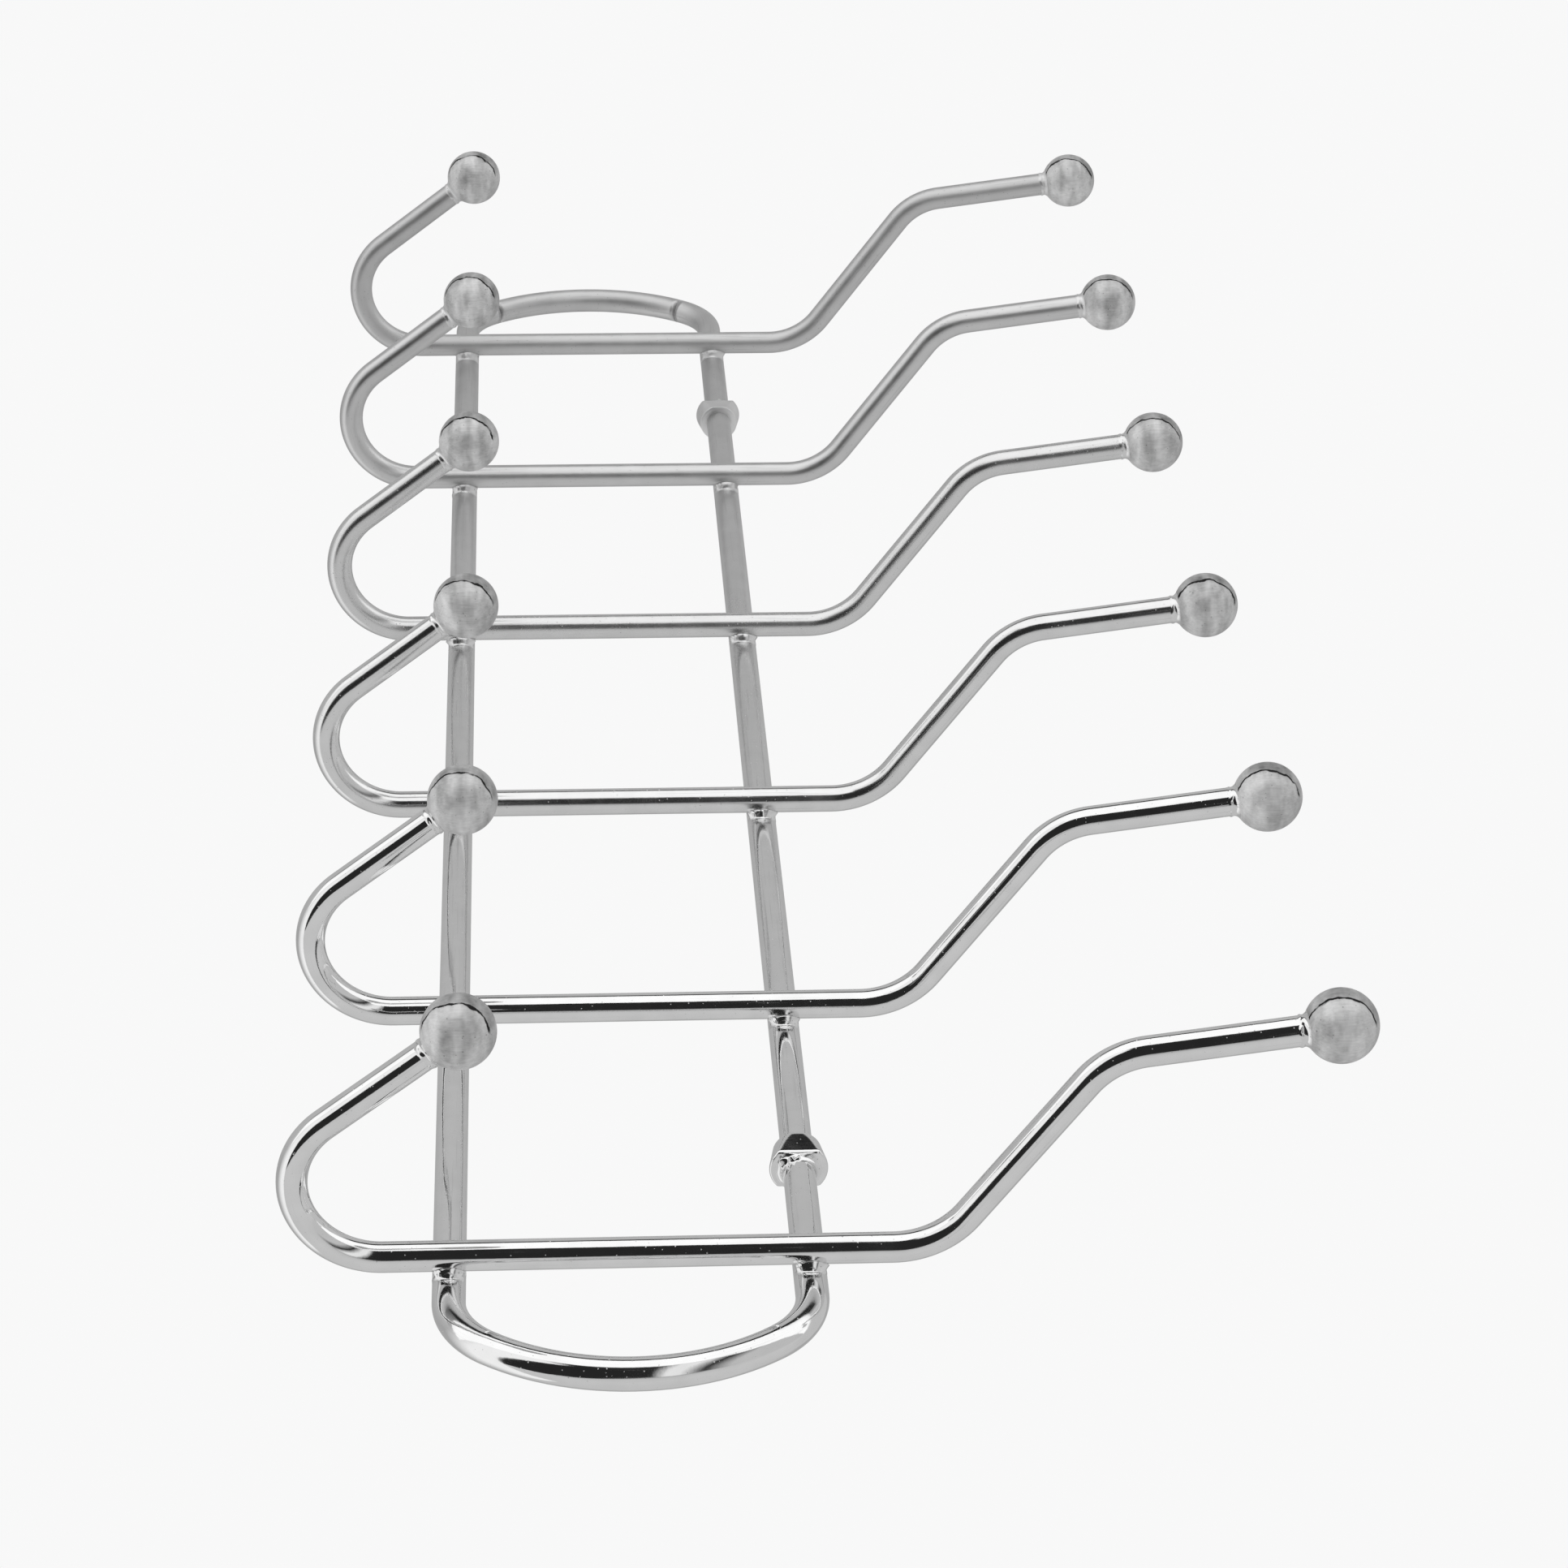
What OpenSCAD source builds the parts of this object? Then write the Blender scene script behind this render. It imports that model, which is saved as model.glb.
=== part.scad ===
// Wall hook rack: a closed wire frame with six double hooks welded across it.
// Millimetres. X runs along the rails, +Z is up the wall and the front faces -Y.
// The wall is the plane Y = 0. Z = 0 is the axis of the upper rail, and X = 0 is midway
// between the two hanging lugs, which is also midway between the outer hooks.

/* [Frame] */
// Diameter of the frame wire
frame_wire_d = 5.4; // [4:0.1:7]
// Distance between the axes of the upper and lower rails
rail_gap = 57.5; // [50:0.5:70]
// Radius of the frame wire's axis at the four corners
corner_r = 16; // [12:0.1:18]
// Angle of each corner, before the wider arc that closes the end
corner_angle = 52; // [48:1:56]
// Length of frame beyond the outer hook on the right
right_overhang = 26.2; // [25:0.1:60]
// Length of frame beyond the outer hook on the left
left_overhang = 40.3; // [25:0.1:60]

/* [Hook wires] */
// Diameter of the hook wire
hook_wire_d = 5; // [4:0.1:6]
// Distance between neighbouring hooks
hook_pitch = 76.5; // [60:0.5:100]
// Depth to which a hook wire is pressed into a rail at a weld
weld_sink = 0.2; // [0.05:0.05:0.5]

/* [Lower hooks] */
// Radius of the wire's axis in the lower hook's turn
throat_r = 13.9; // [8:0.1:18]
// Distance from the lower rail down to the centre of the turn
throat_drop = 10.3; // [6:0.1:20]
// Lean of the lower arm away from the wall
lower_arm_lean = 37.7; // [20:0.1:60]
// Length of the lower arm from the turn to the ball's centre
lower_arm_run = 26.8; // [15:0.1:40]

/* [Upper hooks] */
// Height of the first bend's start above the upper rail
upper_rise = 13.2; // [8:0.1:25]
// Radius of the wire's axis in the first bend
first_bend_r = 14.7; // [8:0.1:20]
// Angle of the first bend, away from the wall
slant_angle = 53.5; // [30:0.5:70]
// Length of the slanted run between the bends
slant_run = 30; // [15:0.1:45]
// Radius of the wire's axis in the second bend
second_bend_r = 13.8; // [8:0.1:20]
// Lean of the upper arm away from the wall
upper_arm_lean = 7.7; // [0:0.1:20]
// Length of the upper arm from the second bend to the ball's centre
upper_arm_run = 30.5; // [15:0.1:50]

/* [Balls] */
// Diameter of the balls on the hook ends
ball_d = 12; // [9:0.5:18]

/* [Hanging lugs] */
// Distance from an outer hook in to the outer face of a lug
lug_inset = 31; // [20:0.5:50]
// Length of a lug along the rail
lug_len = 5.4; // [5:0.1:12]
// Diameter of a lug at its outer face
lug_outer_d = 10; // [9:0.1:12]
// Diameter of a lug at its inner face
lug_inner_d = 8.2; // [8.2:0.1:9]
// Height of the lug's front flat above the rail's axis, at its outer end
lug_front = 3.5; // [2.9:0.1:3.6]
// Slope of the lug's front flat, which rises towards the middle of the rack
lug_front_slope = 5; // [0:0.5:6]
// Depth of the lug's wall flat behind the rail's axis
lug_back = 3.4; // [2.9:0.1:4]
// Diameter of the blind socket in the lug's wall flat
socket_d = 3.6; // [3:0.1:4]
// Depth of the blind socket
socket_depth = 4.8; // [3:0.1:5.5]

/* [Hidden] */

HOOK_COUNT = 6;
CHROME = "silver";
WELD = "darkgray";
$fn = 64;

rail_y = -lug_back;
lower_rail_z = -rail_gap;
hook_y = rail_y - (frame_wire_d + hook_wire_d) / 2 + weld_sink;
outer_hook_x = hook_pitch * (HOOK_COUNT - 1) / 2;
lug_outer_x = outer_hook_x - lug_inset;
lug_inner_x = lug_outer_x - lug_len;
lug_mid_x = lug_outer_x - lug_len / 2;
right_end_x = outer_hook_x + right_overhang;
left_end_x = -outer_hook_x - left_overhang;

// A wire thins a little where it is bent, and each straight run laps into the bends
// beside it, so that the runs of one wire join into one solid.
bend_thinning = 0.02;
lap = 0.2;

// Each end of the frame is a wide arc between two corners, with a very short straight
// run beside it.
end_link = 0.5;
end_arc_r = (rail_gap / 2 - corner_r * (1 - cos(corner_angle)) - end_link * sin(corner_angle))
    / cos(corner_angle);
end_reach = corner_r * sin(corner_angle) + end_link * cos(corner_angle)
    + end_arc_r * (1 - sin(corner_angle));
END_RUNS = [
    [corner_r, corner_angle],
    [end_link],
    [end_arc_r, 180 - 2 * corner_angle],
    [end_link],
    [corner_r, corner_angle]
];

// Runs of the hook wire: [length] is straight and [radius, angle] is a bend.
back_run = throat_drop + rail_gap + upper_rise;
UPPER_RUNS = [
    [back_run],
    [first_bend_r, slant_angle],
    [slant_run],
    [second_bend_r, upper_arm_lean - slant_angle],
    [upper_arm_run]
];
LOWER_RUNS = [
    [throat_r, lower_arm_lean - 180],
    [lower_arm_run]
];

// Weld sizes: rise is the metal above the wire, edge the thin lip where it fades out.
weld_rise = 0.45;
weld_edge = 0.1;
rail_weld_len = hook_wire_d + 2.2;
rail_weld_slope = 0.8;
ball_weld_len = 1.3;
lug_weld_len = 1.5;
lug_chamfer = 0.6;

// Distance between neighbouring hooks is constant, and hook 1 is the rightmost.
function hook_x(i) = outer_hook_x - (i - 1) * hook_pitch;

// One bend of wire that starts at the origin along +Z and turns towards +X, or towards
// -X when the angle is negative.
module wire_bend(d, r, angle) {
    side = sign(angle);
    translate([side * r, 0, 0])
        rotate([90, 0, 0])
            rotate([0, 0, side > 0 ? 180 - angle : 0])
                rotate_extrude(angle = abs(angle))
                    translate([r, 0])
                        circle(d = d - bend_thinning);
}

// Moves its children to the end of one run of wire.
module after_run(run) {
    if (len(run) == 1)
        translate([0, 0, run[0]])
            children();
    else
        translate([sign(run[1]) * run[0] * (1 - cos(run[1])), 0, run[0] * sin(abs(run[1]))])
            rotate([0, run[1], 0])
                children();
}

// Wire laid along runs number i and on. Its straight runs reach lap past both their ends.
module wire(d, runs, i = 0) {
    if (i < len(runs)) {
        if (len(runs[i]) == 1)
            translate([0, 0, -lap])
                cylinder(d = d, h = runs[i][0] + 2 * lap);
        else
            wire_bend(d, runs[i][0], runs[i][1]);
        after_run(runs[i])
            wire(d, runs, i + 1);
    }
}

// Moves its children to the far end of the runs, with +Z along the wire.
module at_wire_end(runs, i = 0) {
    if (i < len(runs))
        after_run(runs[i])
            at_wire_end(runs, i + 1)
                children();
    else
        children();
}

// Places its children at the lower end of hook i's straight back, with +Z up the wall
// and +X away from the wall.
module at_hook_back(i) {
    translate([hook_x(i), hook_y, lower_rail_z - throat_drop])
        rotate([0, 0, -90])
            children();
}

// Places its children at the centre of the upper ball of hook i.
module at_upper_ball(i) {
    at_hook_back(i)
        at_wire_end(UPPER_RUNS)
            children();
}

// Places its children at the centre of the lower ball of hook i.
module at_lower_ball(i) {
    at_hook_back(i)
        rotate([180, 0, 0])
            at_wire_end(mirrored_runs())
                children();
}

// The lower runs leave the back downwards, so they are seen upside down.
function mirrored_runs() = [for (run = LOWER_RUNS) len(run) == 1 ? run : [run[0], -run[1]]];

module ball() {
    sphere(d = ball_d);
}

module hook_wire(i) {
    color(CHROME)
        difference() {
            at_hook_back(i) {
                wire(hook_wire_d, UPPER_RUNS);
                rotate([180, 0, 0])
                    wire(hook_wire_d, mirrored_runs());
            }
            at_upper_ball(i)
                ball();
            at_lower_ball(i)
                ball();
        }
}

module upper_ball(i) {
    color(CHROME)
        at_upper_ball(i)
            ball();
}

module lower_ball(i) {
    color(CHROME)
        at_lower_ball(i)
            ball();
}

// The ring of weld metal where a wire, coming along +Z, meets its ball at the origin.
module ball_weld() {
    joint_z = sqrt(pow(ball_d / 2, 2) - pow(hook_wire_d / 2, 2));
    difference() {
        translate([0, 0, -joint_z - ball_weld_len / 2])
            cylinder(
                h = ball_weld_len,
                r1 = hook_wire_d / 2 + weld_edge,
                r2 = hook_wire_d / 2 + weld_rise
            );
        ball();
        translate([0, 0, -ball_d])
            cylinder(d = hook_wire_d, h = ball_d);
    }
}

module upper_ball_welds() {
    color(WELD)
        for (i = [1 : HOOK_COUNT])
            at_upper_ball(i)
                ball_weld();
}

module lower_ball_welds() {
    color(WELD)
        for (i = [1 : HOOK_COUNT])
            at_lower_ball(i)
                ball_weld();
}

// A collar of weld metal on the front of a rail, which the hook wire crosses.
module rail_weld() {
    rail_r = frame_wire_d / 2;
    half = rail_weld_len / 2;
    difference() {
        intersection() {
            rotate([0, 90, 0])
                rotate_extrude()
                    polygon([
                        [rail_r - 1, -half],
                        [rail_r + weld_edge, -half],
                        [rail_r + weld_rise, rail_weld_slope - half],
                        [rail_r + weld_rise, half - rail_weld_slope],
                        [rail_r + weld_edge, half],
                        [rail_r - 1, half]
                    ]);
            translate([-rail_weld_len, -2 * rail_r, -2 * rail_r])
                cube([2 * rail_weld_len, 2 * rail_r - 0.4, 4 * rail_r]);
        }
        translate([-rail_weld_len, 0, 0])
            rotate([0, 90, 0])
                cylinder(d = frame_wire_d, h = 2 * rail_weld_len);
        translate([0, hook_y - rail_y, -frame_wire_d])
            cylinder(d = hook_wire_d, h = 2 * frame_wire_d);
    }
}

module rail_welds(z) {
    color(WELD)
        for (i = [1 : HOOK_COUNT])
            translate([hook_x(i), rail_y, z])
                rail_weld();
}

// The straight backs of all the hook wires, which cut their saddles into the rails.
module hook_backs() {
    for (i = [1 : HOOK_COUNT])
        translate([hook_x(i), hook_y, lower_rail_z - frame_wire_d])
            cylinder(d = hook_wire_d, h = rail_gap + 2 * frame_wire_d);
}

// The bent wire from the right lug round both ends of the frame to the left lug.
module frame_loop() {
    loop_runs = [
        [right_end_x - end_reach - lug_outer_x - lap],
        each END_RUNS,
        [right_end_x - left_end_x - 2 * end_reach],
        each END_RUNS,
        [-lug_outer_x - left_end_x - end_reach - lap]
    ];
    color(CHROME)
        difference() {
            translate([lug_outer_x + lap, rail_y, 0])
                rotate([0, 90, 0])
                    wire(frame_wire_d, loop_runs);
            hook_backs();
        }
}

// The straight wire of the upper rail between the two lugs.
module top_rail_span() {
    color(CHROME)
        difference() {
            translate([-lug_inner_x, rail_y, 0])
                rotate([0, 90, 0])
                    cylinder(d = frame_wire_d, h = 2 * lug_inner_x);
            hook_backs();
        }
}

// A tapered boss on the rail, with its wide face outwards, a sloping flat at the front,
// a flat against the wall, and a blind socket for a wall pin.
module hanger_lug() {
    difference() {
        intersection() {
            translate([lug_inner_x, rail_y, 0])
                rotate([0, 90, 0])
                    rotate_extrude()
                        polygon([
                            [0, 0],
                            [lug_inner_d / 2, 0],
                            [lug_outer_d / 2, lug_len - lug_chamfer],
                            [lug_outer_d / 2 - lug_chamfer, lug_len],
                            [0, lug_len]
                        ]);
            translate([0, -2 * lug_outer_d, -lug_outer_d])
                cube([right_end_x, 2 * lug_outer_d, 2 * lug_outer_d]);
        }
        translate([lug_outer_x, rail_y - lug_front, 0])
            rotate([0, 0, lug_front_slope])
                translate([-2 * lug_len, -lug_outer_d, -lug_outer_d])
                    cube([4 * lug_len, lug_outer_d, 2 * lug_outer_d]);
        translate([lug_mid_x, 0, 0])
            rotate([90, 0, 0])
                translate([0, 0, -1])
                    cylinder(d = socket_d, h = socket_depth + 1);
    }
}

module hanger_lug_right() {
    color(CHROME)
        hanger_lug();
}

module hanger_lug_left() {
    color(CHROME)
        mirror([1, 0, 0])
            hanger_lug();
}

// The ring of weld metal that joins the frame wire to a lug's outer face.
module lug_weld() {
    rail_r = frame_wire_d / 2;
    translate([lug_outer_x, rail_y, 0])
        rotate([0, 90, 0])
            rotate_extrude()
                polygon([
                    [rail_r, 0],
                    [rail_r + weld_rise, 0],
                    [rail_r + weld_edge, lug_weld_len],
                    [rail_r, lug_weld_len]
                ]);
}

module lug_welds() {
    color(WELD) {
        lug_weld();
        mirror([1, 0, 0])
            lug_weld();
    }
}

frame_loop();
top_rail_span();
hanger_lug_left();
hanger_lug_right();
lug_welds();
hook_wire(1);  // hook_wire_1
hook_wire(2);  // hook_wire_2
hook_wire(3);  // hook_wire_3
hook_wire(4);  // hook_wire_4
hook_wire(5);  // hook_wire_5
hook_wire(6);  // hook_wire_6
upper_ball(1);  // upper_ball_1
upper_ball(2);  // upper_ball_2
upper_ball(3);  // upper_ball_3
upper_ball(4);  // upper_ball_4
upper_ball(5);  // upper_ball_5
upper_ball(6);  // upper_ball_6
lower_ball(1);  // lower_ball_1
lower_ball(2);  // lower_ball_2
lower_ball(3);  // lower_ball_3
lower_ball(4);  // lower_ball_4
lower_ball(5);  // lower_ball_5
lower_ball(6);  // lower_ball_6
rail_welds(0);  // upper_rail_welds
rail_welds(lower_rail_z);  // lower_rail_welds
upper_ball_welds();
lower_ball_welds();
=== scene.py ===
"""Looks of the wall hook rack: chrome wires, balls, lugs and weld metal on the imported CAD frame.

Metres, in the CAD's frame: X along the rails, Z up the wall, and the front faces -Y.
"""

import math
from typing import NamedTuple

import bmesh
import bpy
from mathutils import Matrix, Vector, noise


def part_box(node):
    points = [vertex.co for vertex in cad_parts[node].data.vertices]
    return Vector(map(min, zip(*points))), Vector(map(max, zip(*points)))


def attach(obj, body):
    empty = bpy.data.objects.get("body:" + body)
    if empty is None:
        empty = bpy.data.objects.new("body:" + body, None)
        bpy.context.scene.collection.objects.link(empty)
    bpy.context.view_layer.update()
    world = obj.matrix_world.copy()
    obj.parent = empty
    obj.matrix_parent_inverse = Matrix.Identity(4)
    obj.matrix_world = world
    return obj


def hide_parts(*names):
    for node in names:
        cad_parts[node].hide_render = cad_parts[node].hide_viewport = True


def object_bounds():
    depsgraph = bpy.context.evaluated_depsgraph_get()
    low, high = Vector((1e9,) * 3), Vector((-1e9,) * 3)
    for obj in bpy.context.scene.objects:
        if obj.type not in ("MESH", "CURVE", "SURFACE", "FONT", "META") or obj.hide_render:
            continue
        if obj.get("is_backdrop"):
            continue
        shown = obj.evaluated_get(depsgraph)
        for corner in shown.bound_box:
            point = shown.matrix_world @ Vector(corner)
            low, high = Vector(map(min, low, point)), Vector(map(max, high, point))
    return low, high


MM = 0.001

HOOK_COUNT = 6
HOOK_NUMBERS = range(1, HOOK_COUNT + 1)
BALL_NODES = [f"{side}_ball_{i}" for side in ("upper", "lower") for i in HOOK_NUMBERS]

# Bends of the wires, as in the CAD: lengths and radii in metres, angles in degrees.
THROAT_R = 13.9 * MM
THROAT_DROP = 10.3 * MM
LOWER_LEAN = 37.7
UPPER_RISE = 13.2 * MM
FIRST_BEND_R = 14.7 * MM
SLANT_ANGLE = 53.5
SLANT_RUN = 30.0 * MM
SECOND_BEND_R = 13.8 * MM
UPPER_LEAN = 7.7
CORNER_R = 16.0 * MM
CORNER_ANGLE = 52.0

# How finely the wires are drawn.
BEND_STEP = 3.0
STRAIGHT_STEP = 3.0 * MM
WIRE_SIDES = 48

# Lugs: the cone's radii, the sloping front flat's distance from the rail's axis, and the rounded
# edges. A flat cuts the cone only where the cosine of the angle to it is above FLAT_FACING.
LUG_INNER_R = 4.1 * MM
LUG_OUTER_R = 5.0 * MM
LUG_HUB_R = 2.2 * MM
LUG_FRONT = 3.5 * MM
LUG_SLOPE = 5.0
FLAT_FACING = 0.2
LUG_ROUND = 0.65 * MM
LUG_EDGE = 0.12 * MM
LUG_EDGE_SAG = 0.2
LUG_SIDES = 128
CONE_STATIONS = 12
ROUND_STATIONS = 9
SOCKET_R = 1.8 * MM
SOCKET_DEPTH = 4.8 * MM
SOCKET_SIDES = 48
SHARP_EDGE = 50.0

# Weld metal: how wide a fillet it makes, how deep it sinks in, and how high it may stand.
FILLET = 1.5 * MM
BALL_FILLET = 0.8 * MM
LUG_FILLET = 2.0 * MM
WELD_DEPTH = 0.4 * MM
WELD_TOP = 1.5 * MM
LIP = 0.02 * MM
HALVINGS = 18

# Seeds of the welds' uneven shapes, by kind of weld and by what is uneven.
BALL_WELD_SEED = 10
LUG_WELD_SEED = 30
UPPER_SEED = 0.5
LUMP_SEED = 40
END_SEED = 80
SEED_SPACING = 7.3

# A rail's welds: their reach, and where their two beads lie and end, in metres and degrees.
RAIL_WELD_REACH = 3.9 * MM
RAIL_WELD_SPREAD = 108.0
RAIL_WELD_GRID = (41, 49)
BEAD_PLACE = 2.6 * MM
BEAD_SPAN = 2.75 * MM
BEAD_END = (45, 85)
BEAD_END_WANDER = 15
BEAD_END_SIZE = 2.0 * MM

# A ball's weld, measured along the wire from the ball's surface.
BALL_WELD_BACK = 0.6 * MM
BALL_WELD_REACH = 2.2 * MM
BALL_WELD_GRID = (25, 65)
BALL_BEAD_PLACE = 0.9 * MM

# A lug's weld, measured along the wire from the lug's outer face.
LUG_WELD_BACK = 0.2 * MM
LUG_WELD_REACH = 3.4 * MM
LUG_WELD_GRID = (33, 97)
LUG_WELD_MARGIN = 0.15 * MM
LUG_FACE_SINK = 0.1 * MM
LUG_BEAD_PLACE = 0.9 * MM
LUG_BEAD_END = (60, 120)
LEAST_COSINE = 0.1

# The camera, as fitted to the photograph. The sensor and the lens are in millimetres.
SENSOR = 36.0
LENS = 102.5
CAMERA_PLACE = Vector((784.7, -403.6, -42.2)) * MM
CAMERA_RIGHT = Vector((0.0552, -0.0131, 0.9984))
CAMERA_FORWARD = Vector((-0.8840, 0.4642, 0.0549))

# The studio that the chrome mirrors, as brightness by the angle round the vertical in degrees:
# 0 is +X, 90 is the front (-Y), 180 is -X, and negative angles are behind the wall.
STUDIO = [
    (-180, 0.52),
    (-146, 0.44),
    (-112, 0.46),
    (-98, 0.62),
    (-25, 0.66),
    (-3, 0.62),
    (6, 0.42),
    (11, 0.035),
    (50, 0.025),
    (76, 0.035),
    (80, 1.22),
    (119, 1.22),
    (128, 1.05),
    (130.5, 0.02),
    (139, 0.02),
    (142, 0.40),
    (146, 0.56),
    (160, 0.53),
    (180, 0.52),
]

# Changes to that, each a level and its limits. A limit is a direction, and the cosines to it
# at which the change starts and is full. The screen darkens, and the soft lights brighten.
DARKEST = 0.022
SCREEN = (0.03, [((0, -0.876, -0.482), 0.08, 0.125), ((1, 0, 0), 0.30, 0.45)])
SOFT_LIGHTS = [
    (0.95, [
        ((0, 0, 1), 0.13, 0.24),
        ((0, 0, 1), 0.50, 0.34),
        ((1, 0, 0), -0.10, 0.25),
        ((0, -1, 0), -0.05, 0.15),
    ]),
    (0.60, [((0, 0, 1), 0.50, 0.68)]),
    (1.05, [
        ((0, 0, -1), 0.28, 0.40),
        ((-0.958, 0, -0.287), -0.28, -0.24),
        ((1, 0, 0), -0.80, 0.20),
    ]),
]

# The glowing sheet in front of the rack: opposite corners in metres, and its brightness.
BOX_LOW = (-0.125, -0.400, -0.150)
BOX_HIGH = (0.278, -0.400, 0.120)
BOX_LEVEL = 1.22

BACKGROUND = 0.94
FLOOR_DROP = 0.9
FLOOR_SIDE = 40.0

# Materials: the parts of a noise's swing that colours and other values are spread over, the
# share of a spot that is full, and the depth of the relief.
TONE_SWING = (0.3, 0.7)
SWING = (0.35, 0.65)
SPOT_CORE = 0.6
RELIEF = 0.1 * MM

# How the polish fades along the rack, from one X to another, and how much that dulls the wires.
HAZE_SPAN = (0.12, -0.20)
HAZE = 0.40
HAZE_DULLING = 0.45

# Chrome of the wires: its greys and roughness, and what its scratches and specks change.
WIRE_TONE = (0.77, 0.83)
WIRE_POLISH = (0.05, 0.09)
WIRE_BUMP = 0.06
SCRATCH_SWING = (0.60, 0.68)
SCRATCH_DARK = 0.06
SCRATCH_ROUGH = 0.08
SPECK_ROUGH = 0.5

# Chrome of the welds, with pits.
WELD_TONE = (0.74, 0.82)
WELD_POLISH = (0.06, 0.16)
WELD_BUMP = 0.10
PIT_DARK = 0.3
PIT_ROUGH = 0.3

# Chrome of the lugs.
LUG_TONE = (0.75, 0.81)
LUG_POLISH = (0.05, 0.10)
LUG_BUMP = 0.08
LUG_SPECK_ROUGH = 0.35

# Satin metal of the balls, with its bands, brush marks, mottle and pits.
BALL_METAL = 0.35
BALL_TONE = 0.55
BALL_ROUGH = 0.40
BALL_BUMP = 0.3
BANDS = (-0.15, 0.12)
BRUSH = (-0.05, 0.05)
MOTTLE = (-0.05, 0.04)
BALL_PIT_DARK = 0.25
GROOVE = -2

# The balls' cap: its middle, its edge and the edge's blend as cosines, and the painted reflection ring
# and painted rim shade there.
CAP_AXIS = (0.974, -0.170, -0.143)
CAP_EDGE = 0.40
CAP_BLEND = 0.05
CAP_WANDER = (-0.07, 0.07)
RING_WIDTH = (0.016, 0.045)
RING_FULLNESS_SWING = (0.38, 0.55)
RING_FULLNESS = (0.35, 1)
RING_FRONT = (-0.36, -0.2)
# How much the ring darkens the tone: a painted reflection, the dark arc of a reflection drawn round
# the cap's fixed axis.
RING_PAINTED_REFLECTION = 0.72
RING_ROUGH = 0.3
# How much the front outside the cap is darkened: painted shade, which leaves the cap lighter.
RIM_PAINTED_SHADE = 0.16


def aim_camera():
    """The camera of the photograph: turned on its side, looking along the rails from the right."""
    forward = CAMERA_FORWARD.normalized()
    right = (CAMERA_RIGHT - CAMERA_RIGHT.dot(forward) * forward).normalized()
    up = right.cross(forward)
    data = bpy.data.cameras.new("camera")
    data.sensor_width = SENSOR
    data.lens = LENS
    camera = bpy.data.objects.new("camera", data)
    bpy.context.scene.collection.objects.link(camera)
    axes = Matrix((right, up, -forward)).transposed()
    camera.matrix_world = Matrix.Translation(CAMERA_PLACE) @ axes.to_4x4()
    bpy.context.scene.camera = camera


def opaque(grey):
    """A grey as an opaque colour."""
    return (grey, grey, grey, 1)


class Formula:
    """A node tree under construction, with helpers that add nodes of its formulas."""

    def __init__(self, tree):
        self.nodes = tree.nodes
        self.links = tree.links

    def feed(self, socket, value):
        """Puts a number or another node's output into a socket."""
        if isinstance(value, (int, float)):
            socket.default_value = value
        else:
            self.links.new(value, socket)

    def join(self, operation, one, other):
        """The result of a maths node for two values."""
        node = self.nodes.new("ShaderNodeMath")
        node.operation = operation
        self.feed(node.inputs[0], one)
        self.feed(node.inputs[1], other)
        return node.outputs[0]

    def product(self, one, other):
        """Multiplies two values."""
        return self.join("MULTIPLY", one, other)

    def sum(self, *values):
        """Adds numbers or node outputs."""
        total = values[0]
        for value in values[1:]:
            total = self.join("ADD", total, value)
        return total

    def remap(self, value, span, onto=(0, 1)):
        """Maps one span of values onto another, and holds the end values outside."""
        node = self.nodes.new("ShaderNodeMapRange")
        self.links.new(value, node.inputs["Value"])
        node.inputs["From Min"].default_value = span[0]
        node.inputs["From Max"].default_value = span[1]
        node.inputs["To Min"].default_value = onto[0]
        node.inputs["To Max"].default_value = onto[1]
        return node.outputs[0]

    def part(self, vector, axis):
        """The X, Y or Z part of a vector."""
        split = self.nodes.new("ShaderNodeSeparateXYZ")
        self.links.new(vector, split.inputs[0])
        return split.outputs[axis]

    def toward(self, vector, direction):
        """The dot product of a vector with a fixed direction."""
        node = self.nodes.new("ShaderNodeVectorMath")
        node.operation = "DOT_PRODUCT"
        node.inputs[1].default_value = direction
        self.links.new(vector, node.inputs[0])
        return node.outputs["Value"]

    def scaled(self, vector, factors):
        """A vector multiplied by a fixed factor along each axis."""
        node = self.nodes.new("ShaderNodeVectorMath")
        node.operation = "MULTIPLY"
        node.inputs[1].default_value = factors
        self.links.new(vector, node.inputs[0])
        return node.outputs[0]


def set_ramp(ramp, stops):
    """Fills a colour ramp with (position, grey) stops."""
    elements = ramp.elements
    while len(elements) > 1:
        elements.remove(elements[-1])
    first_position, first_grey = stops[0]
    elements[0].position = first_position
    elements[0].color = opaque(first_grey)
    for position, grey in stops[1:]:
        elements.new(position).color = opaque(grey)


def within(formula, direction, limits):
    """How far a direction is inside all its limits, from 0 to 1."""
    share = 1.0
    for axis, start, full in limits:
        step = formula.remap(formula.toward(direction, axis), (start, full))
        share = formula.product(share, step)
    return share


def studio_brightness(formula):
    """How bright the studio is in the direction that is looked in."""
    direction = formula.nodes.new("ShaderNodeTexCoord").outputs["Generated"]
    forward = formula.product(formula.part(direction, "Y"), -1)
    angle = formula.join("ARCTAN2", forward, formula.part(direction, "X"))
    ramp = formula.nodes.new("ShaderNodeValToRGB")
    set_ramp(ramp.color_ramp, [((degrees + 180) / 360, grey) for degrees, grey in STUDIO])
    formula.links.new(formula.remap(angle, (-math.pi, math.pi)), ramp.inputs[0])
    level, limits = SCREEN
    dimming = formula.product(within(formula, direction, limits), level - 1)
    brightness = formula.product(ramp.outputs[0], formula.sum(dimming, 1))
    for level, limits in SOFT_LIGHTS:
        light = formula.product(within(formula, direction, limits), level)
        brightness = formula.join("MAXIMUM", brightness, light)
    return formula.join("MAXIMUM", brightness, DARKEST)


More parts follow.
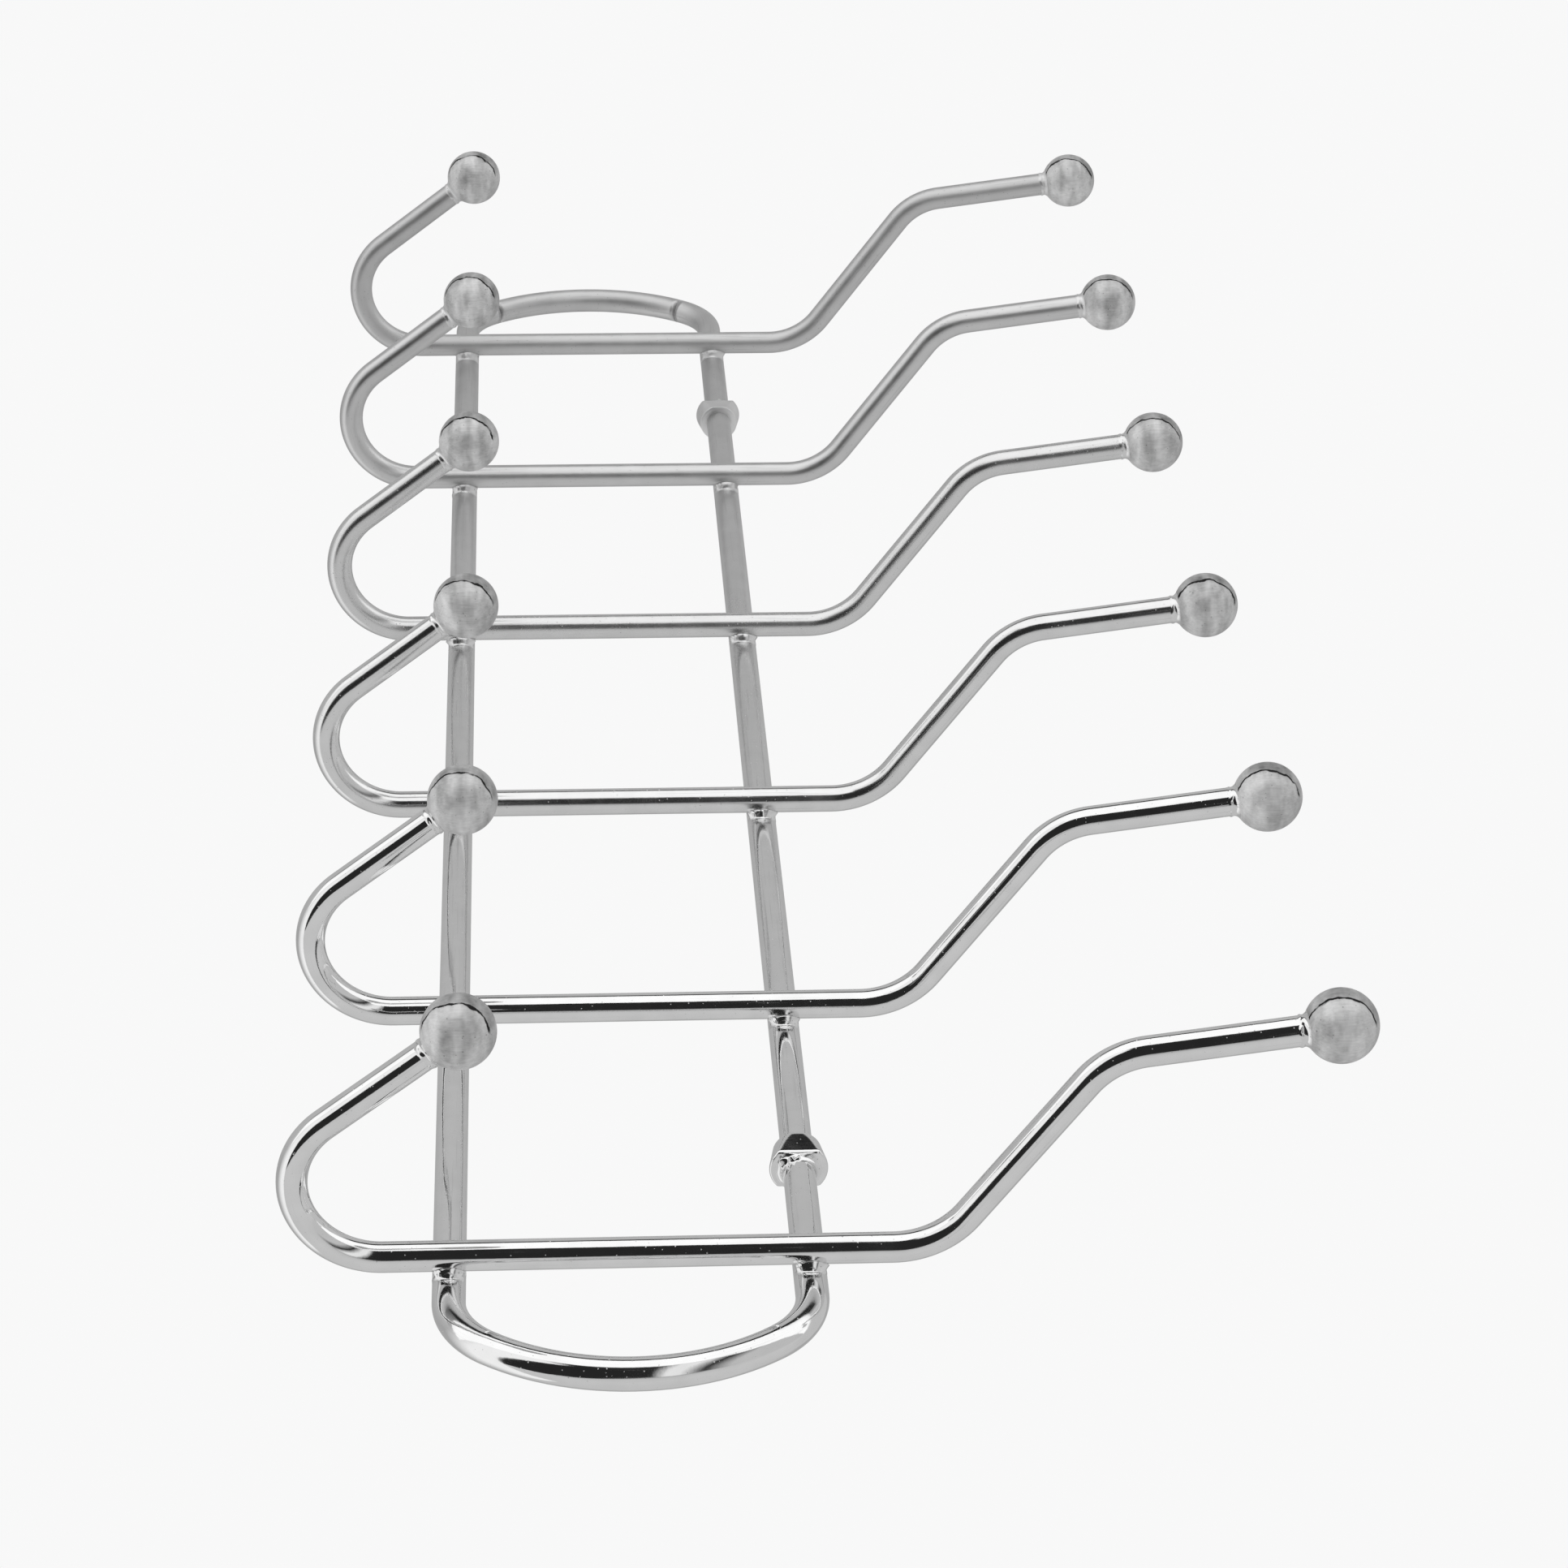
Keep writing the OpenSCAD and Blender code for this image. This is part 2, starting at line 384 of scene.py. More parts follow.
def light_world():
    """A plain studio that the chrome mirrors, with a plain pale backdrop for the camera."""
    world = bpy.data.worlds.new("studio")
    bpy.context.scene.world = world
    world.use_nodes = True
    nodes, links = world.node_tree.nodes, world.node_tree.links
    nodes.clear()
    studio = nodes.new("ShaderNodeBackground")
    links.new(studio_brightness(Formula(world.node_tree)), studio.inputs["Color"])
    backdrop = nodes.new("ShaderNodeBackground")
    backdrop.inputs["Color"].default_value = opaque(BACKGROUND)
    path = nodes.new("ShaderNodeLightPath")
    mix = nodes.new("ShaderNodeMixShader")
    links.new(path.outputs["Is Camera Ray"], mix.inputs[0])
    links.new(studio.outputs[0], mix.inputs[1])
    links.new(backdrop.outputs[0], mix.inputs[2])
    out = nodes.new("ShaderNodeOutputWorld")
    links.new(mix.outputs[0], out.inputs[0])


def glowing_sheet(name, corners, level):
    """A flat sheet that glows evenly, as stage."""
    mesh = bpy.data.meshes.new(name)
    mesh.from_pydata(corners, [], [(0, 1, 2, 3)])
    sheet = bpy.data.objects.new(name, mesh)
    bpy.context.scene.collection.objects.link(sheet)
    material = bpy.data.materials.new(name)
    material.use_nodes = True
    shader = material.node_tree.nodes["Principled BSDF"]
    shader.inputs["Base Color"].default_value = opaque(0)
    shader.inputs["Roughness"].default_value = 1
    shader.inputs["Specular IOR Level"].default_value = 0
    shader.inputs["Emission Color"].default_value = opaque(1)
    shader.inputs["Emission Strength"].default_value = level
    mesh.materials.append(material)
    sheet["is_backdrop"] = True
    return sheet


def hang_light_box():
    """A light box in front of the rack, which the camera doesn't see."""
    (x0, y, z0), (x1, _, z1) = BOX_LOW, BOX_HIGH
    corners = [(x0, y, z0), (x1, y, z0), (x1, y, z1), (x0, y, z1)]
    glowing_sheet("light_box", corners, BOX_LEVEL).visible_camera = False


def lay_floor():
    """A plain pale floor well below the rack, as bright as the backdrop."""
    half = FLOOR_SIDE / 2
    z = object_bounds()[0].z - FLOOR_DROP
    corners = [(-half, -half, z), (half, -half, z), (half, half, z), (-half, half, z)]
    glowing_sheet("pale_floor", corners, BACKGROUND).visible_glossy = False


class Paint(Formula):
    """A metal material under construction, with the patterns that it is made of."""

    def __init__(self, name, metallic):
        self.material = bpy.data.materials.new(name)
        self.material.use_nodes = True
        super().__init__(self.material.node_tree)
        self.shader = self.nodes["Principled BSDF"]
        self.shader.inputs["Metallic"].default_value = metallic
        coordinates = self.nodes.new("ShaderNodeTexCoord").outputs
        self.place = coordinates["Object"]
        self.normal = coordinates["Normal"]
        self.unrolled = coordinates["UV"]

    def noise(self, size, detail, vector=None):
        """Cloudy noise whose features are about size metres."""
        texture = self.nodes.new("ShaderNodeTexNoise")
        texture.inputs["Scale"].default_value = 1 / size
        texture.inputs["Detail"].default_value = detail
        self.links.new(vector or self.place, texture.inputs["Vector"])
        return texture.outputs["Fac"]

    def streaks(self, length, width):
        """Noise drawn out along a wire, by its UVs."""
        return self.noise(width, detail=3, vector=self.scaled(self.unrolled, (width / length, 1, 0)))

    def grain(self, width, height, detail):
        """Noise that is as wide as width along X and Y, and as high as height along Z."""
        sized = self.scaled(self.place, (1 / width, 1 / width, 1 / height))
        return self.noise(1, detail, vector=sized)

    def spots(self, spacing, radius):
        """Round spots of a radius, scattered about spacing apart: 1 inside and 0 outside."""
        cells = self.nodes.new("ShaderNodeTexVoronoi")
        cells.inputs["Scale"].default_value = 1 / spacing
        self.links.new(self.place, cells.inputs["Vector"])
        edge = radius / spacing
        return self.remap(cells.outputs["Distance"], (SPOT_CORE * edge, edge), (1, 0))

    def haze(self):
        """Extra roughness of a polish that dulls gradually towards the left end of the rack."""
        return self.remap(self.part(self.place, "X"), HAZE_SPAN, (0, HAZE))

    def finish(self, tone, roughness, relief, strength):
        """Sets the metal's grey tone, its roughness and the fine relief of its surface."""
        grey = self.nodes.new("ShaderNodeCombineColor")
        for socket in grey.inputs[:3]:
            self.feed(socket, tone)
        self.links.new(grey.outputs[0], self.shader.inputs["Base Color"])
        self.feed(self.shader.inputs["Roughness"], roughness)
        bump = self.nodes.new("ShaderNodeBump")
        bump.inputs["Strength"].default_value = strength
        bump.inputs["Distance"].default_value = RELIEF
        self.links.new(relief, bump.inputs["Height"])
        self.links.new(bump.outputs[0], self.shader.inputs["Normal"])
        return self.material


def wire_material():
    """Chromed wire: drawn streaks along it, small dull specks, and a polish that fades to the left."""
    paint = Paint("chrome_wire", metallic=1)
    cloud = paint.noise(size=4.5 * MM, detail=6)
    lines = paint.streaks(length=24 * MM, width=0.45 * MM)
    scratch = paint.remap(lines, SCRATCH_SWING)
    speck = paint.spots(spacing=1.05 * MM, radius=0.13 * MM)
    haze = paint.haze()
    wear = paint.sum(paint.product(scratch, SCRATCH_DARK), paint.product(haze, HAZE_DULLING))
    tone = paint.join("SUBTRACT", paint.remap(cloud, TONE_SWING, WIRE_TONE), wear)
    roughness = paint.sum(
        paint.remap(cloud, SWING, WIRE_POLISH),
        haze,
        paint.product(scratch, SCRATCH_ROUGH),
        paint.product(speck, SPECK_ROUGH),
    )
    relief = paint.sum(paint.noise(size=1.1 * MM, detail=4), lines, speck)
    return paint.finish(tone, roughness, relief, WIRE_BUMP)


def weld_material():
    """Chromed weld metal: lumpier than the wire, with pits."""
    paint = Paint("chrome_weld", metallic=1)
    cloud = paint.noise(size=2.5 * MM, detail=6)
    pit = paint.spots(spacing=0.9 * MM, radius=0.13 * MM)
    clean = paint.remap(cloud, TONE_SWING, WELD_TONE)
    tone = paint.join("SUBTRACT", clean, paint.product(pit, PIT_DARK))
    polish = paint.remap(cloud, SWING, WELD_POLISH)
    roughness = paint.sum(polish, paint.haze(), paint.product(pit, PIT_ROUGH))
    relief = paint.sum(paint.noise(size=0.8 * MM, detail=5), pit)
    return paint.finish(tone, roughness, relief, WELD_BUMP)


def lug_material():
    """Chromed turned steel of the lugs, slightly worn."""
    paint = Paint("chrome_lug", metallic=1)
    cloud = paint.noise(size=3 * MM, detail=6)
    speck = paint.spots(spacing=1.1 * MM, radius=0.12 * MM)
    tone = paint.remap(cloud, TONE_SWING, LUG_TONE)
    polish = paint.remap(cloud, SWING, LUG_POLISH)
    roughness = paint.sum(polish, paint.haze(), paint.product(speck, LUG_SPECK_ROUGH))
    relief = paint.noise(size=0.9 * MM, detail=4)
    return paint.finish(tone, roughness, relief, LUG_BUMP)


def cap_painted_light(paint):
    """Masks of painted light on a ball: the painted reflection ring at its cap's edge, and the painted
    rim shade on its front outside the cap.
    """
    wander = paint.remap(paint.noise(size=3 * MM, detail=4), TONE_SWING, CAP_WANDER)
    height = paint.sum(paint.toward(paint.normal, CAP_AXIS), wander)
    from_ring = paint.join("ABSOLUTE", paint.join("SUBTRACT", height, CAP_EDGE), 0)
    ring_fullness = paint.remap(paint.noise(size=2.2 * MM, detail=2), RING_FULLNESS_SWING, RING_FULLNESS)
    front = paint.remap(paint.part(paint.normal, "Y"), RING_FRONT, (1, 0))
    # The ring line, a painted reflection, shown only on the front.
    line = paint.product(paint.remap(from_ring, RING_WIDTH, (1, 0)), front)
    cap = paint.remap(height, (CAP_EDGE, CAP_EDGE + CAP_BLEND))
    # Painted shade on the front outside the cap.
    painted_rim_shade = paint.join("SUBTRACT", front, paint.product(front, cap))
    return paint.product(line, ring_fullness), painted_rim_shade


def ball_material():
    """Satin metal of the balls: brushed and mottled, with pits, a broken dark ring round a cap that is
    a painted reflection, and painted shade on the front outside the cap.
    """
    paint = Paint("satin_ball_painted_reflection", BALL_METAL)
    ring, painted_rim_shade = cap_painted_light(paint)
    bands = paint.remap(paint.grain(width=9 * MM, height=2.6 * MM, detail=2), SWING, BANDS)
    brush = paint.remap(paint.grain(width=0.3 * MM, height=4 * MM, detail=3), TONE_SWING, BRUSH)
    mottle = paint.remap(paint.noise(size=1.2 * MM, detail=6), SWING, MOTTLE)
    pit = paint.spots(spacing=1.2 * MM, radius=0.13 * MM)
    # Darkening by the painted reflection ring, the painted rim shade and the pits.
    painted_reflection_shade_and_pits = paint.sum(
        paint.product(ring, RING_PAINTED_REFLECTION),
        paint.product(painted_rim_shade, RIM_PAINTED_SHADE),
        paint.product(pit, BALL_PIT_DARK),
    )
    tone = paint.join("SUBTRACT", paint.sum(BALL_TONE, bands, brush, mottle), painted_reflection_shade_and_pits)
    roughness = paint.sum(BALL_ROUGH, mottle, paint.product(ring, RING_ROUGH))
    relief = paint.sum(brush, paint.product(ring, GROOVE), paint.product(pit, GROOVE))
    return paint.finish(tone, roughness, relief, BALL_BUMP)


def coat(nodes, names, material):
    """Gives CAD nodes a material of their own look."""
    for name in names:
        slots = nodes[name].data.materials
        slots.clear()
        slots.append(material)


def spread(low, high, count):
    """Evenly spaced numbers from low to high."""
    return [low + (high - low) * i / (count - 1) for i in range(count)]


def middle(node):
    """The middle of a CAD node's box."""
    low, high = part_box(node)
    return (low + high) / 2


def half_width(node):
    """Half of a CAD node's width along X, which is a wire's or a ball's radius."""
    low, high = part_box(node)
    return (high.x - low.x) / 2


def new_piece(name, bm, material, slot, *nodes):
    """Makes a smooth-shaded piece that stands for CAD nodes and rides on the rack."""
    mesh = bpy.data.meshes.new(name)
    bmesh.ops.recalc_face_normals(bm, faces=bm.faces)
    bm.to_mesh(mesh)
    bm.free()
    mesh.shade_smooth()
    mesh.materials.append(material)
    piece = bpy.data.objects.new(name, mesh)
    bpy.context.scene.collection.objects.link(piece)
    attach(piece, "root")
    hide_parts(*nodes)
    return piece


def skin(bm, one, other):
    """Adds the faces between two closed rows of vertices."""
    faces = []
    for k in range(len(one)):
        m = (k + 1) % len(one)
        faces.append(bm.faces.new((one[k], one[m], other[m], other[k])))
    return faces


def add_straight(path, end):
    """Extends a path to end in short even steps."""
    start = path[-1].copy()
    steps = max(1, round((end - start).length / STRAIGHT_STEP))
    for step in range(1, steps + 1):
        path.append(start.lerp(end, step / steps))


def arc_path(points, corner_radii):
    """Points of a wire's axis that runs through the corner points, each rounded to its radius."""
    path = [points[0]]
    for i, radius in enumerate(corner_radii, 1):
        corner = points[i]
        into = (corner - points[i - 1]).normalized()
        away = (points[i + 1] - corner).normalized()
        turn = into.angle(away)
        start = corner - into * radius * math.tan(turn / 2)
        centre = corner + (away - into).normalized() * radius / math.cos(turn / 2)
        add_straight(path, start)
        steps = math.ceil(math.degrees(turn) / BEND_STEP)
        across = start - centre
        for step in range(1, steps + 1):
            part = turn * step / steps
            path.append(centre + across * math.cos(part) + into * radius * math.sin(part))
    add_straight(path, points[-1])
    return path


def wire_ring(bm, path, i, radius, plane_normal):
    """The ring of vertices round point i of a wire's path."""
    before, after = path[max(i - 1, 0)], path[min(i + 1, len(path) - 1)]
    side = (after - before).normalized().cross(plane_normal)
    ring = []
    for k in range(WIRE_SIDES):
        angle = math.tau * k / WIRE_SIDES
        out = math.cos(angle) * side + math.sin(angle) * plane_normal
        ring.append(bm.verts.new(path[i] + radius * out))
    return ring


def sweep(path, radius, plane_normal):
    """A round wire along a flat path, with UVs in metres along it and round it."""
    bm = bmesh.new()
    uv = bm.loops.layers.uv.new("wire")
    rings = [wire_ring(bm, path, i, radius, plane_normal) for i in range(len(path))]
    strip = math.tau * radius / WIRE_SIDES
    start = 0.0
    for i in range(len(path) - 1):
        end = start + (path[i + 1] - path[i]).length
        for k, face in enumerate(skin(bm, rings[i], rings[i + 1])):
            corners = ((start, k), (start, k + 1), (end, k + 1), (end, k))
            for loop, (distance, turn) in zip(face.loops, corners):
                loop[uv].uv = (distance, turn * strip)
        start = end
    bm.faces.new(rings[0])
    bm.faces.new(rings[-1])
    return bm


def bend_reach(radius, angle):
    """How far before its corner a bend of some degrees starts."""
    return radius * math.tan(math.radians(angle) / 2)


def outward(lean):
    """The direction up the wall that leans forwards by some degrees."""
    return Vector((0, -math.sin(math.radians(lean)), math.cos(math.radians(lean))))


def build_hook_wire(i, material):
    """One hook wire, from the lower ball round the throat, up its back and out to the upper ball."""
    node = f"hook_wire_{i}"
    radius = half_width(node)
    x = middle(node).x
    back_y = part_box(node)[1].y - radius
    foot_z = LOWER_RAIL_Z - THROAT_DROP - bend_reach(THROAT_R, 180 - LOWER_LEAN)
    first_reach = bend_reach(FIRST_BEND_R, SLANT_ANGLE)
    second_reach = bend_reach(SECOND_BEND_R, SLANT_ANGLE - UPPER_LEAN)
    first = Vector((x, back_y, UPPER_RAIL_Z + UPPER_RISE + first_reach))
    second = first + outward(SLANT_ANGLE) * (first_reach + SLANT_RUN + second_reach)
    corners = [
        middle(f"lower_ball_{i}"),
        Vector((x, back_y, foot_z)),
        first,
        second,
        middle(f"upper_ball_{i}"),
    ]
    path = arc_path(corners, [THROAT_R, FIRST_BEND_R, SECOND_BEND_R])
    new_piece(f"wire_of_hook_{i}", sweep(path, radius, Vector((1, 0, 0))), material, "hook_wire", node)


def frame_corners(end_reach, run_in, middle_z):
    """Corner points of the frame's axis, from the right lug round both ends to the left lug.

    At each end, the middle corner lies end_reach past the wire, and the others run_in back from it.
    """
    low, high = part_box("frame_loop")
    left_tip = low.x + WIRE_R - end_reach
    right_tip = high.x - WIRE_R + end_reach
    places = [
        (middle("hanger_lug_right").x, UPPER_RAIL_Z),
        (right_tip - run_in, UPPER_RAIL_Z),
        (right_tip, middle_z),
        (right_tip - run_in, LOWER_RAIL_Z),
        (left_tip + run_in, LOWER_RAIL_Z),
        (left_tip, middle_z),
        (left_tip + run_in, UPPER_RAIL_Z),
        (middle("hanger_lug_left").x, UPPER_RAIL_Z),
    ]
    return [Vector((x, RAIL_Y, z)) for x, z in places]


def build_frame(material):
    """The frame's bent wire, and the straight wire of the upper rail between the lugs."""
    half_gap = (UPPER_RAIL_Z - LOWER_RAIL_Z) / 2
    turn = math.radians(CORNER_ANGLE)
    end_r = (half_gap - CORNER_R * (1 - math.cos(turn))) / math.cos(turn)
    end_reach = end_r * (1 / math.sin(turn) - 1)
    corners = frame_corners(end_reach, half_gap / math.tan(turn), LOWER_RAIL_Z + half_gap)
    path = arc_path(corners, [CORNER_R, end_r, CORNER_R] * 2)
    flat = Vector((0, 1, 0))
    new_piece("frame_wire", sweep(path, WIRE_R, flat), material, "frame_wire", "frame_loop")
    span = [corners[-1]]
    add_straight(span, corners[0])
    new_piece("top_rail_wire", sweep(span, WIRE_R, flat), material, "frame_wire", "top_rail_span")


def smooth_least(a, b, blend):
    """The smaller of two distances, rounded where they are within blend of each other."""
    near = max(blend - abs(a - b), 0.0)
    return min(a, b) - near * near / (4 * blend)


def solve_height(surface, top):
    """The height, up to top, at which a rising surface function passes zero."""
    low, high = 0.0, top
    for _ in range(HALVINGS):
        height = (low + high) / 2
        if surface(height) < 0:
            low = height
        else:
            high = height
    return low


def ripple(seed, x, angle, size):
    """Smooth noise from -1 to 1 over a wire's surface."""
    reach = WIRE_R / size
    shift = seed * SEED_SPACING
    return noise.noise(Vector((x / size, reach * math.cos(angle), shift + reach * math.sin(angle))))


def fade(value, start, end):
    """1 before start, 0 after end, and smooth between them."""
    share = min(max((value - start) / (end - start), 0.0), 1.0)
    return 1 - share * share * (3 - 2 * share)


class Bead(NamedTuple):
    """A bead of weld metal: its size, how far it strays, and how much it swells and shrinks.

    The two sizes with a longer name are those of the noise that makes it stray and swell.
    """

    rise: float
    width: float
    stray: float
    stray_size: float
    lumps: float
    lump_size: float

    def height(self, seed, x, angle, distance):
        """Its height at a place on the wire that is a distance away from its planned line."""
        off = (distance + self.stray * ripple(seed, x, angle, self.stray_size)) / self.width
        uneven = 1 + self.lumps * ripple(seed + LUMP_SEED, x, angle, self.lump_size)
        return self.rise * uneven * math.exp(-off * off)


RAIL_BEAD = Bead(
    rise=0.34 * MM,
    width=0.42 * MM,
    stray=0.25 * MM,
    stray_size=2.5 * MM,
    lumps=0.5,
    lump_size=2.0 * MM,
)
BALL_BEAD = Bead(
    rise=0.13 * MM,
    width=0.30 * MM,
    stray=0.30 * MM,
    stray_size=1.6 * MM,
    lumps=1.2,
    lump_size=0.9 * MM,
)
LUG_BEAD = Bead(
    rise=0.25 * MM,
    width=0.45 * MM,
    stray=0.50 * MM,
    stray_size=1.5 * MM,
    lumps=2.0,
    lump_size=0.7 * MM,
)


def collar(place, axis, front, radius, stations, angles, height):
    """A closed skin of metal on a round wire, as high over it as height(x, angle) says."""
    bm = bmesh.new()
    side = axis.cross(front)
    goes_round = math.isclose(angles[-1] - angles[0], math.tau)
    if goes_round:
        angles = angles[:-1]
    columns = []
    for angle in angles:
        out = math.cos(angle) * front + math.sin(angle) * side
        column = []
        for x in stations:
            column.append(bm.verts.new(place + axis * x + out * (radius + height(x, angle))))
        for x in reversed(stations):
            column.append(bm.verts.new(place + axis * x + out * (radius - WELD_DEPTH)))
        columns.append(column)
    if goes_round:
        columns.append(columns[0])
    else:
        bm.faces.new(columns[0])
        bm.faces.new(columns[-1])
    for one, other in zip(columns, columns[1:]):
        skin(bm, one, other)
    return bm


def build_rail_weld(i, rail, rail_z, material):
    """Weld metal where hook wire i crosses a rail: a fillet with a low bead along each side."""
    hook = f"hook_wire_{i}"
    hook_r = half_width(hook)
    gap = RAIL_Y - (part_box(hook)[1].y - hook_r)
    seed = i + (UPPER_SEED if rail == "upper" else 0.0)

    def height(x, angle):
        across = min(abs(WIRE_R * math.sin(angle) / BEAD_SPAN), 1)
        line = abs(x) - BEAD_PLACE * math.sqrt(1 - across * across)
        end_wander = BEAD_END_WANDER * ripple(seed + END_SEED, x, angle, BEAD_END_SIZE)
        bead = RAIL_BEAD.height(seed, x, angle, line)
        bead *= fade(abs(math.degrees(angle)) + end_wander, *BEAD_END)

        def surface(h):
            to_hook = math.hypot(x, gap - (WIRE_R + h) * math.cos(angle)) - hook_r
            return smooth_least(h, to_hook, FILLET) - bead

        return solve_height(surface, WELD_TOP) - LIP

    place = Vector((middle(hook).x, RAIL_Y, rail_z))
    limit = math.radians(RAIL_WELD_SPREAD)
    stations = spread(-RAIL_WELD_REACH, RAIL_WELD_REACH, RAIL_WELD_GRID[0])
    angles = spread(-limit, limit, RAIL_WELD_GRID[1])
    bm = collar(place, Vector((1, 0, 0)), Vector((0, -1, 0)), WIRE_R, stations, angles, height)
    new_piece(f"weld_{rail}_rail_{i}", bm, material, "welds", f"{rail}_rail_welds")


def build_ball_weld(i, which, lean, material):
    """Weld metal in the corner between a hook wire's end and its ball."""
    ball = f"{which}_ball_{i}"
    ball_low, ball_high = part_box(ball)
    ball_r = (ball_high.z - ball_low.z) / 2
    wire_r = half_width(f"hook_wire_{i}")
    seed = BALL_WELD_SEED + i + (UPPER_SEED if which == "upper" else 0.0)
    joint = math.sqrt(ball_r**2 - wire_r**2)

    def height(x, angle):
        bead = BALL_BEAD.height(seed, x, angle, x - joint - BALL_BEAD_PLACE)

        def surface(h):
            return smooth_least(h, math.hypot(x, wire_r + h) - ball_r, BALL_FILLET) - bead

        return solve_height(surface, WELD_TOP) - LIP

    stations = spread(joint - BALL_WELD_BACK, joint + BALL_WELD_REACH, BALL_WELD_GRID[0])
    angles = spread(0, math.tau, BALL_WELD_GRID[1])
    bm = collar(middle(ball), -outward(lean), Vector((1, 0, 0)), wire_r, stations, angles, height)
    new_piece(f"weld_{which}_ball_{i}", bm, material, "welds", f"{which}_ball_welds")


def build_lug_weld(side, sign, material):
    """Weld metal round the frame wire where it enters a lug's outer face."""
    low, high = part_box(f"hanger_lug_{side}")
    face = high.x if sign > 0 else low.x
    back = high.y - RAIL_Y
    seed = LUG_WELD_SEED + sign

    def height(x, angle):
        bead = LUG_BEAD.height(seed, x, angle, x - LUG_BEAD_PLACE)
        bead *= fade(abs(math.degrees(angle)), *LUG_BEAD_END)
        flat = LUG_FRONT if math.cos(angle) > 0 else back
        edge = min(LUG_OUTER_R, flat / max(abs(math.cos(angle)), LEAST_COSINE))

        def surface(h):
            return smooth_least(h, x + LUG_FACE_SINK, LUG_FILLET) - bead

        return solve_height(surface, min(WELD_TOP, edge - WIRE_R - LUG_WELD_MARGIN)) - LIP

    place = Vector((face, RAIL_Y, UPPER_RAIL_Z))
    stations = spread(-LUG_WELD_BACK, LUG_WELD_REACH, LUG_WELD_GRID[0])
    angles = spread(0, math.tau, LUG_WELD_GRID[1])
    bm = collar(place, Vector((sign, 0, 0)), Vector((0, -1, 0)), WIRE_R, stations, angles, height)
    new_piece(f"weld_of_lug_{side}", bm, material, "welds", "lug_welds")


def lug_stations(length):
    """The lug's outline as (distance from its inner face, share of its width outside the hub)."""
    width = LUG_OUTER_R - LUG_HUB_R
    edge = LUG_EDGE / width
    stations = [(0, 0), (0, 0.5), (0, 1 - edge), (LUG_EDGE / 2, 1 - LUG_EDGE_SAG * edge)]
    stations += [(x, 1) for x in spread(LUG_EDGE, length - LUG_ROUND, CONE_STATIONS)]
    for turn in spread(0, math.pi / 2, ROUND_STATIONS)[1:]:
        x = length - LUG_ROUND + LUG_ROUND * math.sin(turn)
        stations.append((x, 1 - LUG_ROUND * (1 - math.cos(turn)) / width))
    return stations + [(length, 0.5), (length, 0)]


def build_lug(side, sign, material):
    """A tapered boss with a sloping front flat, a wall flat, rounded edges and a blind socket."""
    low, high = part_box(f"hanger_lug_{side}")
    length = high.x - low.x
    inner_x = low.x if sign > 0 else high.x
    back = high.y - RAIL_Y

    def limit(x, angle):
        radius = LUG_INNER_R + (LUG_OUTER_R - LUG_INNER_R) * x / length
        facing = math.cos(angle)
        front = LUG_FRONT + (length - x) * math.tan(math.radians(LUG_SLOPE))
        flat = front if facing > 0 else back
        if abs(facing) > FLAT_FACING:
            radius = smooth_least(radius, flat / abs(facing), LUG_EDGE)
        return radius

    def ring(bm, x, share):
        centre = Vector((inner_x + sign * x, RAIL_Y, UPPER_RAIL_Z))
        verts = []
        for k in range(LUG_SIDES):
            angle = math.tau * k / LUG_SIDES
            reach = LUG_HUB_R + (limit(x, angle) - LUG_HUB_R) * share
            out = Vector((0, -math.cos(angle), math.sin(angle)))
            verts.append(bm.verts.new(centre + out * reach))
        return verts

    bm = bmesh.new()
    rings = [ring(bm, x, share) for x, share in lug_stations(length)]
    for one, other in zip(rings, rings[1:]):
        skin(bm, one, other)
    bm.faces.new(rings[0])
    bm.faces.new(rings[-1])
    lug = new_piece(f"lug_{side}", bm, material, "lugs", f"hanger_lug_{side}")
    drill(lug, Vector(((low.x + high.x) / 2, high.y, UPPER_RAIL_Z)))


